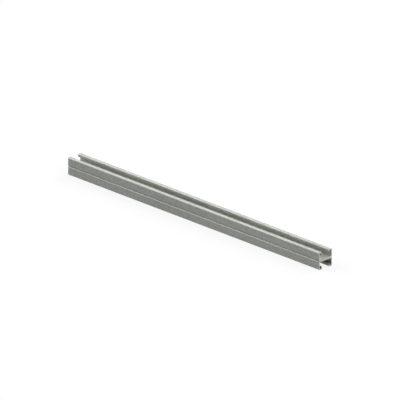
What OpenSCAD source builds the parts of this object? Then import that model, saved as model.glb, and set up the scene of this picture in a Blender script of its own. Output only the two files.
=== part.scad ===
// Back-to-back strut channel: two roll-formed steel channels lie web against web, with one
// open slot facing up and one facing down. Each channel is one strip of sheet, bent into a web,
// two walls, two lips and the two hooks that turn back into the channel and hold a channel nut.
//
// Millimetres. +X runs along the length, +Y across the section and +Z up through the two slots.
// The origin is at the middle of the bottom, on the plane of the lower lips.

/* [Length] */
// Length of the stock, from cut end to cut end
length = 800; // [60:1:6000]

/* [Section] */
// Width of each channel, outside its walls
channel_width = 41; // [34:0.5:60]
// Depth of one channel, from the outside of its web to the outside of its lips
channel_depth = 21; // [16:0.5:60]
// Thickness of the sheet
sheet = 2.5; // [1.5:0.1:3]
// Radius inside every bend
bend_radius = 0.3; // [0.2:0.1:1.5]

/* [Slot] */
// Clear width of the slot between the two hooks
slot_width = 22; // [12:0.5:27]
// Depth of a hook, from the outside of its lip to its free edge
hook_depth = 7; // [4.6:0.1:12]

/* [Hidden] */

upper_colour = [0.62, 0.63, 0.61];
lower_colour = [0.56, 0.57, 0.55];

// Outside radius of every bend
outer_radius = bend_radius + sheet;
// Width of a lip, from the outside of its wall to the slot face of its hook
lip_width = (channel_width - slot_width) / 2;
half_width = channel_width / 2;

// True curves
$fn = 96;

// A quarter of a bend, from the middle of its web to its lip, with its centre at the origin:
// it joins a flat that ends above and left of the centre to one that ends below and right of it.
module bend() {
    intersection() {
        difference() {
            circle(outer_radius);
            circle(bend_radius);
        }
        square(outer_radius);
    }
}

// A flat stretch of sheet, with its corner of least width and height at the origin
module flat(width, height) {
    square([width, height]);
}

// Right half of a channel's section, open upwards, with the outside of its web on the width axis
module half_section() {
    wall_bend = half_width - outer_radius;
    lip_bend = half_width - lip_width + outer_radius;
    top_bend = channel_depth - outer_radius;

    flat(wall_bend, sheet);
    translate([wall_bend, outer_radius]) mirror([0, 1]) bend();
    translate([half_width - sheet, outer_radius]) flat(sheet, channel_depth - 2 * outer_radius);
    translate([wall_bend, top_bend]) bend();
    translate([lip_bend, channel_depth - sheet]) flat(wall_bend - lip_bend, sheet);
    translate([lip_bend, top_bend]) mirror([1, 0]) bend();
    translate([slot_width / 2, channel_depth - hook_depth]) flat(sheet, hook_depth - outer_radius);
}

// Whole section of one channel, open upwards
module section() {
    half_section();
    mirror([1, 0]) half_section();
}

// One channel, lying on its web and open upwards
module channel() {
    rotate([90, 0, 90]) linear_extrude(length, center = true) section();
}

// Channel whose slot faces up: its web lies on the web of the lower channel
module upper_channel() {
    color(upper_colour) translate([0, 0, channel_depth]) channel();
}

// Channel whose slot faces down: the stock lies on its lips
module lower_channel() {
    color(lower_colour) translate([0, 0, channel_depth]) mirror([0, 0, 1]) channel();
}

upper_channel();
lower_channel();
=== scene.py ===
import math

import bpy
import numpy as np
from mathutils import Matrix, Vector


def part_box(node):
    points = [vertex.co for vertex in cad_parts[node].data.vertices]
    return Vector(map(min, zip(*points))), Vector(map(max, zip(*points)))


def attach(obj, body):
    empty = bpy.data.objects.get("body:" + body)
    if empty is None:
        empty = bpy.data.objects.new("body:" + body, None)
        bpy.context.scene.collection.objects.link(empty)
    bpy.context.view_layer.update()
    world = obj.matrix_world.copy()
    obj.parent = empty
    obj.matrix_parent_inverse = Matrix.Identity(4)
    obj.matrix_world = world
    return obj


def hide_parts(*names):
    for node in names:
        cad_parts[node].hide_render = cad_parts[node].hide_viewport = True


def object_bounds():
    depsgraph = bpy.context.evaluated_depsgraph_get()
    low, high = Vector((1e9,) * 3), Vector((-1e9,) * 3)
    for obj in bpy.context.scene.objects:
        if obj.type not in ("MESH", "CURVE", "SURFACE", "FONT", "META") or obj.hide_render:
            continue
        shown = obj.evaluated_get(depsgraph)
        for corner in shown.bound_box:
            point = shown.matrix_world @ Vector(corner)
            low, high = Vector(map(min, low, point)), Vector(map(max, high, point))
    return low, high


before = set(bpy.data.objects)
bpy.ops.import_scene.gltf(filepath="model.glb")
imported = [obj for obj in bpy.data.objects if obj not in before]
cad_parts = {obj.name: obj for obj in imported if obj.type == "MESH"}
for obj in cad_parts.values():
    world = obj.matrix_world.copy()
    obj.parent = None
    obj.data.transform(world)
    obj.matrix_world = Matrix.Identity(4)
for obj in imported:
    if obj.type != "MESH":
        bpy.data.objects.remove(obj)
cad_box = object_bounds()


# ---- The two channels -----------------------------------------------------------------------
# Each channel is one strip of galvanised steel, rolled into a web, two walls, two lips and two
# hooks that turn back into the slot. The pair is spot-welded web to web, which burns the zinc
# round each weld, and is then sawn to length, which leaves both ends bare.

sheet = 0.0025                  # thickness of the strip
bend_radius = 0.0003            # inside every bend
slot_width = 0.022              # clear, between the hooks
hook_depth = 0.007              # from the outside of the lip to the free edge
edge_round = 0.0004             # on the slit edges of the strip
cut_bevel = 0.00015             # edge broken with a file after the saw

weld_pitch = 0.1                # from weld to weld along the web
weld_count = 8
weld_radius = 0.0036            # of the dimple that the electrode leaves
weld_sink = 0.00022
weld_strip = 0.011              # width of the middle of the web, drawn finely for the dimples
weld_reach = 0.005              # stretch along the length to each side of a weld, drawn finely

bend_steps = 10                 # points along each stretch of the section
edge_steps = 6
hook_steps = 3                  # on the flat of a hook, and of a lip
wall_steps = 5                  # on the flat of a wall, and of the web beside its middle
weld_steps = 22
station_spacing = 0.025         # between the sections along the length, away from the welds
sharp_angle = math.radians(30)


def strip_section(width, depth, inset=0.0):
    """Inner and outer side of a channel's section, as two arrays of points (across, up).

    The middle of the sheet is walked from the free edge of one hook to that of the other. A flat
    keeps its heading and a bend turns it by 90 degrees in equal steps; each step is the chord
    between two headings, so a bend's points lie on its true circle. The sides lie half a sheet to
    the left and right of the walk. Near a free edge that half shrinks as the height of a quarter
    circle, which rounds the slit edge. An inset thins the sheet by that much on each side.
    """
    outer = bend_radius + sheet
    lip = (width - slot_width) / 2
    step_turn = math.pi / 2 / bend_steps
    chord = 2 * (bend_radius + sheet / 2) * math.sin(step_turn / 2)
    hook_flat = hook_depth - outer - edge_round
    web_flat = (width - 2 * outer - weld_strip) / 2
    # edge, hook, bend, lip, bend, wall, bend, web up to the strip that holds the welds; 0 is a bend
    steps = np.array([
        edge_steps, hook_steps, bend_steps, hook_steps, bend_steps, wall_steps, bend_steps, wall_steps,
    ])
    flats = np.array([edge_round, hook_flat, 0, lip - 2 * outer, 0, depth - 2 * outer, 0, web_flat])
    bends = flats == 0
    lengths = np.where(bends, chord, flats / steps)
    turns = np.where(bends, step_turn, 0)

    steps = np.concatenate([steps, [weld_steps], steps[::-1]])
    lengths = np.concatenate([lengths, [weld_strip / weld_steps], lengths[::-1]])
    turns = np.concatenate([turns, [0], turns[::-1]])
    length = np.repeat(lengths, steps)
    turn = np.repeat(turns, steps)

    heading = math.pi / 2 + np.concatenate([[0], np.cumsum(turn)])
    chord_heading = heading[1:] - turn / 2
    walk = np.stack([length * np.cos(chord_heading), length * np.sin(chord_heading)], axis=1)
    free_edge = [-(slot_width + sheet) / 2, depth - hook_depth]
    middle = free_edge + np.concatenate([[[0, 0]], np.cumsum(walk, axis=0)])
    left = np.stack([-np.sin(heading), np.cos(heading)], axis=1)

    travelled = np.concatenate([[0], np.cumsum(length)])
    from_edge = np.minimum(travelled, travelled[-1] - travelled)
    short = np.clip(edge_round - from_edge, 0, None)
    half = sheet / 2 - edge_round + np.sqrt(edge_round ** 2 - short ** 2) - inset
    return middle + left * half[:, None], middle - left * half[:, None]


def channel_mesh(name, low, high, web_plane, up):
    """Mesh of one channel between its lowest and highest corner, with its slot towards up (+1 or -1).

    The closed section is carried along the length: point (station, section) is the station's place
    along +X with the section's across and up added to the web's plane. At each end the section is
    inset by the bevel, and quads between its inner and outer side close the sheet. Around a weld the
    inner side of the web sinks by a smooth step of the distance from the weld's centre. The bevels
    and the closing quads have material 1, and all other faces have material 0.
    """
    width, depth = high[1] - low[1], high[2] - low[2]
    inner, outer = strip_section(width, depth)
    section = np.concatenate([inner, outer[::-1]])
    cut_inner, cut_outer = strip_section(width, depth, cut_bevel)
    cut_section = np.concatenate([cut_inner, cut_outer[::-1]])
    side = len(inner)

    welds = (np.arange(weld_count) - (weld_count - 1) / 2) * weld_pitch
    near_weld = np.linspace(-weld_reach, weld_reach, weld_steps)
    plain = np.arange(low[0] + cut_bevel, high[0] - cut_bevel, station_spacing)
    stations = np.concatenate([plain, (welds[:, None] + near_weld).ravel()])
    stations = np.unique(np.concatenate([[low[0], high[0] - cut_bevel, high[0]], stations]).round(6))

    rings = np.repeat(section[None], len(stations), axis=0)
    rings[[0, -1]] = cut_section
    to_weld = np.abs(stations[:, None] - welds).min(axis=1)
    from_weld = np.hypot(to_weld[:, None], rings[:, :side, 0])
    in_dimple = np.clip((weld_radius - from_weld) / (weld_radius / 2), 0, 1)
    rings[:, :side, 1] -= weld_sink * in_dimple ** 2 * (3 - 2 * in_dimple)

    across, above = rings[:, :, 0], web_plane + up * rings[:, :, 1]
    along = np.broadcast_to(stations[:, None], across.shape)
    points = np.stack([along, across, above], axis=2).reshape(-1, 3)

    around = np.arange(2 * side)
    this_ring = np.arange(len(stations) - 1)[:, None] * 2 * side
    here, ahead = this_ring + around, this_ring + np.roll(around, -1)
    skin = np.stack([here, ahead, ahead + 2 * side, here + 2 * side], axis=2).reshape(-1, 4)
    one_side = np.arange(side - 1)
    other_side = 2 * side - 1 - one_side
    cap = np.stack([one_side, other_side, other_side - 1, one_side + 1], axis=1)
    last_ring = (len(stations) - 1) * 2 * side
    faces = np.concatenate([skin, cap, cap[:, ::-1] + last_ring])
    if up > 0:
        faces = faces[:, ::-1]

    mesh = bpy.data.meshes.new(name)
    mesh.from_pydata(points.tolist(), [], faces.tolist())
    is_cut = np.zeros(len(faces), dtype=np.int32)
    is_cut[:2 * side] = 1
    is_cut[len(skin) - 2 * side:] = 1
    mesh.polygons.foreach_set("material_index", is_cut)
    mesh.shade_smooth()
    mesh.set_sharp_from_angle(angle=sharp_angle)
    mesh.update()
    return mesh


class Wire:
    """One socket of a node tree. Arithmetic on it adds Math nodes, and node() adds any other node."""

    def __init__(self, tree, socket=None):
        self.tree = tree
        self.socket = socket

    def node(self, kind, settings=None, inputs=None, output=0):
        """Adds a node, sets its settings, then sets or links its inputs; gives a wire from one output."""
        made = self.tree.nodes.new(kind)
        for key, value in (settings or {}).items():
            setattr(made, key, value)
        for key, value in (inputs or {}).items():
            if isinstance(value, Wire):
                self.tree.links.new(value.socket, made.inputs[key])
            else:
                made.inputs[key].default_value = value
        return Wire(self.tree, made.outputs[output] if made.outputs else None)

    def math(self, operation, *others):
        """Math on this wire and then the others, each a wire or a number."""
        return self.node("ShaderNodeMath", {"operation": operation}, dict(enumerate((self, *others))))

    def vector(self, operation, *others):
        """Vector Math on this wire and then the others, each a wire or a vector."""
        return self.node("ShaderNodeVectorMath", {"operation": operation}, dict(enumerate((self, *others))))

    def part(self, axis):
        """The X, Y or Z of a vector or the Red, Green or Blue of a colour, as 0, 1 or 2."""
        return self.node("ShaderNodeSeparateXYZ", {}, {"Vector": self}, output=axis)

    def step(self, low, high):
        """0 at low and 1 at high, with a smooth step from one to the other."""
        settings = {"interpolation_type": "SMOOTHSTEP"}
        return self.node("ShaderNodeMapRange", settings, {"Value": self, "From Min": low, "From Max": high})

    def __add__(self, other):
        return self.math("ADD", other)

    def __sub__(self, other):
        return self.math("SUBTRACT", other)

    def __rsub__(self, other):
        return self.node("ShaderNodeMath", {"operation": "SUBTRACT"}, {0: other, 1: self})

    def __mul__(self, other):
        return self.math("MULTIPLY", other)

    __radd__ = __add__
    __rmul__ = __mul__


def new_material(name):
    """An empty material and a wire from its Object coordinates, which are metres in the part's frame."""
    material = bpy.data.materials.new(name)
    material.use_nodes = True
    material.node_tree.nodes.clear()
    return material, Wire(material.node_tree).node("ShaderNodeTexCoord", output="Object")


def noise(place, scale, stretch=(1, 1, 1), detail=2.0, output="Fac"):
    """Noise with about scale blots a metre, drawn out along the axes whose stretch is under 1."""
    stretched = place.node("ShaderNodeMapping", {}, {"Vector": place, "Scale": stretch})
    inputs = {"Vector": stretched, "Scale": scale, "Detail": detail}
    return place.node("ShaderNodeTexNoise", {}, inputs, output=output)


def mixed(factor, low, high):
    """Colour that goes from low to high as factor goes from 0 to 1."""
    return factor.node("ShaderNodeMix", {"data_type": "RGBA"}, {0: factor, 6: low, 7: high}, output=2)


dull_gloss = 0.40               # specular level of an oxidised metal
relief = 0.00002                # height of the finest marks on both surfaces


def steel_surface(color, metallic, roughness, height, facing=None):
    """Ends a material: its bump rises by the relief where height goes from 0 to 1, over facing."""
    over = {"Height": height, "Distance": relief}
    if facing is not None:
        over["Normal"] = facing
    normal = height.node("ShaderNodeBump", {}, over)
    inputs = {
        "Base Color": color,
        "Metallic": metallic,
        "Roughness": roughness,
        "Specular IOR Level": dull_gloss,
        "Normal": normal,
    }
    surface = height.node("ShaderNodeBsdfPrincipled", {}, inputs)
    height.node("ShaderNodeOutputMaterial", {}, {"Surface": surface})


# Zinc: matt grey crystals a few millimetres across, each set at its own slight tilt and shade and
# broken up by smaller ones, with soft clouds from the bath and fine lines along the length from the
# rolls. Round each weld the zinc is burnt darker, and the electrode polished a disc.
zinc_dark = (0.350, 0.361, 0.331, 1)
zinc_light = (0.572, 0.587, 0.543, 1)
burnt_zinc = (0.235, 0.236, 0.222, 1)
zinc_metallic = 0.18

large_crystals = 300.0          # to a metre
small_crystals = 760.0
large_share = 0.62              # of a spot's shade that its large crystal gives
outline_wander = 0.45           # of a crystal's width
outline_blots = 2.5             # to a crystal's width
crystal_tilt = 0.075            # about the slope of a crystal's face

cloud_blots = 22.0              # to a metre
cloud_stretch = (0.5, 1, 1)
roll_lines = 900.0              # to a metre
roll_stretch = (0.012, 1, 1)
grain_blots = 3200.0            # to a metre

shade_tone = 0.85               # what moves the colour from dark to light zinc
cloud_tone = 0.5
roll_tone = 0.4
zinc_matt = 0.43                # roughness of a middling spot, and what changes it
shade_matt = 0.12
cloud_matt = 0.15
disc_polish = 0.08
roll_relief = 0.6               # shares of the relief
grain_relief = 0.4

disc_full = 0.8                 # of a weld's radius, where the polished disc begins to fade
disc_edge = 1.05                # where it ends and the burnt ring is darkest
ring_edge = 1.6                 # where the ring ends
ring_burn = 0.75                # how far the ring goes towards burnt zinc


def crystals(place, to_a_metre):
    """One random colour for each crystal. Noise of its own size bends the crystal's straight outline."""
    blots = noise(place, to_a_metre * outline_blots, output="Color")
    wander = blots.vector("SUBTRACT", (0.5, 0.5, 0.5))
    far = (outline_wander / to_a_metre,) * 3
    warped = wander.vector("MULTIPLY_ADD", far, place)
    return place.node("ShaderNodeTexVoronoi", {}, {"Vector": warped, "Scale": to_a_metre}, output="Color")


zinc, place = new_material("galvanised_zinc")
large, small = crystals(place, large_crystals), crystals(place, small_crystals)
shade = large.part(0) * large_share + small.part(0) * (1 - large_share)
cloud = noise(place, cloud_blots, cloud_stretch, detail=3.0)
rolled = noise(place, roll_lines, roll_stretch)
grain = noise(place, grain_blots, detail=1.0)
to_middle = (shade_tone + cloud_tone + roll_tone - 1) / 2
tone = shade * shade_tone + cloud * cloud_tone + rolled * roll_tone - to_middle

# Each crystal leans by its own colour, taken as a slope from -1 to 1 along each axis.
either_way = large.vector("ADD", small).vector("SUBTRACT", (1, 1, 1))
plain_normal = place.node("ShaderNodeNewGeometry", output="Normal")
facing = either_way.vector("MULTIPLY_ADD", (crystal_tilt / 2,) * 3, plain_normal).vector("NORMALIZE")

# Distance to the nearest weld: its part along the length runs to and fro from 0 to half a pitch.
from_first = place.part(0) + weld_pitch * (weld_count - 1) / 2
off_weld = from_first.math("PINGPONG", weld_pitch / 2)
weld_distance = (off_weld * off_weld + place.part(1) * place.part(1)).math("SQRT")
weld_disc = weld_distance.step(weld_radius * disc_edge, weld_radius * disc_full)
weld_ring = weld_distance.step(weld_radius * ring_edge, weld_radius * disc_edge) - weld_disc

zinc_color = mixed(weld_ring * ring_burn, mixed(tone, zinc_dark, zinc_light), burnt_zinc)
crystal_matt = (shade - 0.5) * shade_matt + (cloud - 0.5) * cloud_matt
zinc_roughness = zinc_matt + crystal_matt - weld_disc * disc_polish
zinc_height = rolled * roll_relief + grain * grain_relief
steel_surface(zinc_color, zinc_metallic, zinc_roughness, zinc_height, facing)

# Saw cut: bare steel, brighter than the zinc, with fine slanted lines from the blade.
cut_dark = (0.540, 0.553, 0.517, 1)
cut_light = (0.740, 0.756, 0.712, 1)
cut_metallic = 0.2
cut_matt = 0.45                 # roughness of the cut
line_matt = 0.2                 # how much it differs from line to line
saw_slant = math.radians(20)
saw_lines = 1500.0              # to a metre
line_stretch = (1, 0.03, 1)

saw_cut, place = new_material("sawn_steel")
slanted = place.node("ShaderNodeMapping", {}, {"Vector": place, "Rotation": (saw_slant, 0, 0)})
lines = noise(slanted, saw_lines, line_stretch)
cut_roughness = (lines - 0.5) * line_matt + cut_matt
steel_surface(mixed(lines, cut_dark, cut_light), cut_metallic, cut_roughness, lines)

for node, slot, up in (("lower_channel", "lower_steel", -1), ("upper_channel", "upper_steel", 1)):
    low, high = (np.array(corner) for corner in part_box(node))
    web_plane = low[2] if up > 0 else high[2]
    name = node + "_strip"
    piece = bpy.data.objects.new(name, channel_mesh(name, low, high, web_plane, up))
    bpy.context.scene.collection.objects.link(piece)
    piece.data.materials.append(zinc)
    piece.data.materials.append(saw_cut)
    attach(piece, "root")
    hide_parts(node)


# ---- Floor and light ------------------------------------------------------------------------
# A plain white floor that keeps a faint shadow of the stock and is clear from below, and soft
# studio light: three wide lamps, behind the stock, past its far end and past its near end, in a
# dim room that shows white.

floor_half = 8.0
floor_gap = 0.0002              # under the lips, so that the two surfaces don't share a plane
floor_grey = (0.15, 0.15, 0.15, 1)  # share of the lamps' light that it throws back up
floor_glow = 0.83               # of the white that the camera sees in the floor, lit or not
room_level = 0.02               # of white, from all round

white = (1, 1, 1, 1)
corners = [(x * floor_half, y * floor_half, -floor_gap) for x, y in ((-1, -1), (1, -1), (1, 1), (-1, 1))]
floor_mesh = bpy.data.meshes.new("floor")
floor_mesh.from_pydata(corners, [], [(0, 1, 2, 3)])
floor = bpy.data.objects.new("floor", floor_mesh)
bpy.context.scene.collection.objects.link(floor)


def in_view(start):
    """1 for what the camera sees directly, in a mirror or through glass, and 0 for light that falls."""
    seen = start.node("ShaderNodeLightPath", output="Is Camera Ray")
    glossy = start.node("ShaderNodeLightPath", output="Is Glossy Ray")
    through = start.node("ShaderNodeLightPath", output="Is Transmission Ray")
    return seen.math("MAXIMUM", glossy).math("MAXIMUM", through)


floor_paint, place = new_material("floor_paint")
lit = place.node("ShaderNodeBsdfDiffuse", {}, {"Color": floor_grey})
glow = place.node("ShaderNodeEmission", {}, {"Color": white, "Strength": in_view(place) * floor_glow})
both = place.node("ShaderNodeAddShader", {}, {0: lit, 1: glow})
backside = place.node("ShaderNodeNewGeometry", output="Backfacing")
clear = place.node("ShaderNodeBsdfTransparent")
faced = place.node("ShaderNodeMixShader", {}, {0: backside, 1: both, 2: clear})
place.node("ShaderNodeOutputMaterial", {}, {"Surface": faced})
floor.data.materials.append(floor_paint)

world = bpy.data.worlds.new("room")
world.use_nodes = True
world.node_tree.nodes.clear()
start = Wire(world.node_tree)
room = start.node("ShaderNodeBackground", {}, {"Color": white, "Strength": room_level})
backdrop = start.node("ShaderNodeBackground", {}, {"Color": white, "Strength": 1.0})
shown = start.node("ShaderNodeMixShader", {}, {0: in_view(start), 1: room, 2: backdrop})
start.node("ShaderNodeOutputWorld", {}, {"Surface": shown})
bpy.context.scene.world = world


def direction(turn, height):
    """The way that is turned from +X towards +Y by the first angle and then raised by the second."""
    turn, height = math.radians(turn), math.radians(height)
    level = math.cos(height)
    return Vector((math.cos(turn) * level, math.sin(turn) * level, math.sin(height)))


# Where each lamp stands (turn, height) and how wide it is, in degrees. A white sheet that faces it
# renders at its strength.
for name, turn, height, width, strength in (
    ("back_light", 90, 45, 54, 0.58),
    ("left_light", 202, 38, 50, 0.77),
    ("end_light", 12, 34, 50, 0.43),
):
    lamp = bpy.data.lights.new(name, "SUN")
    lamp.energy = strength * math.pi
    lamp.angle = math.radians(width)
    holder = bpy.data.objects.new(name, lamp)
    holder.rotation_mode = "QUATERNION"
    holder.rotation_quaternion = direction(turn, height).to_track_quat("Z", "Y")
    bpy.context.scene.collection.objects.link(holder)


# ---- Camera ---------------------------------------------------------------------------------
# A parallel view from above the cut end, turned so that the length runs down to the right.

view_turn = -44.86              # degrees, as for a lamp
view_height = 22.25
view_size = 0.8995              # metres across the frame
aim_above = 0.02585             # from the middle of the stock, up the frame
camera_distance = 3.0

centre = (Vector(cad_box[0]) + Vector(cad_box[1])) / 2
back = direction(view_turn, view_height)
camera = bpy.data.objects.new("camera", bpy.data.cameras.new("camera"))
camera.data.type = "ORTHO"
camera.data.ortho_scale = view_size
camera.rotation_mode = "QUATERNION"
camera.rotation_quaternion = back.to_track_quat("Z", "Y")
up_frame = camera.rotation_quaternion @ Vector((0, 1, 0))
camera.location = centre + back * camera_distance + up_frame * aim_above
bpy.context.scene.collection.objects.link(camera)
bpy.context.scene.camera = camera
bpy.context.scene.view_settings.view_transform = "Standard"
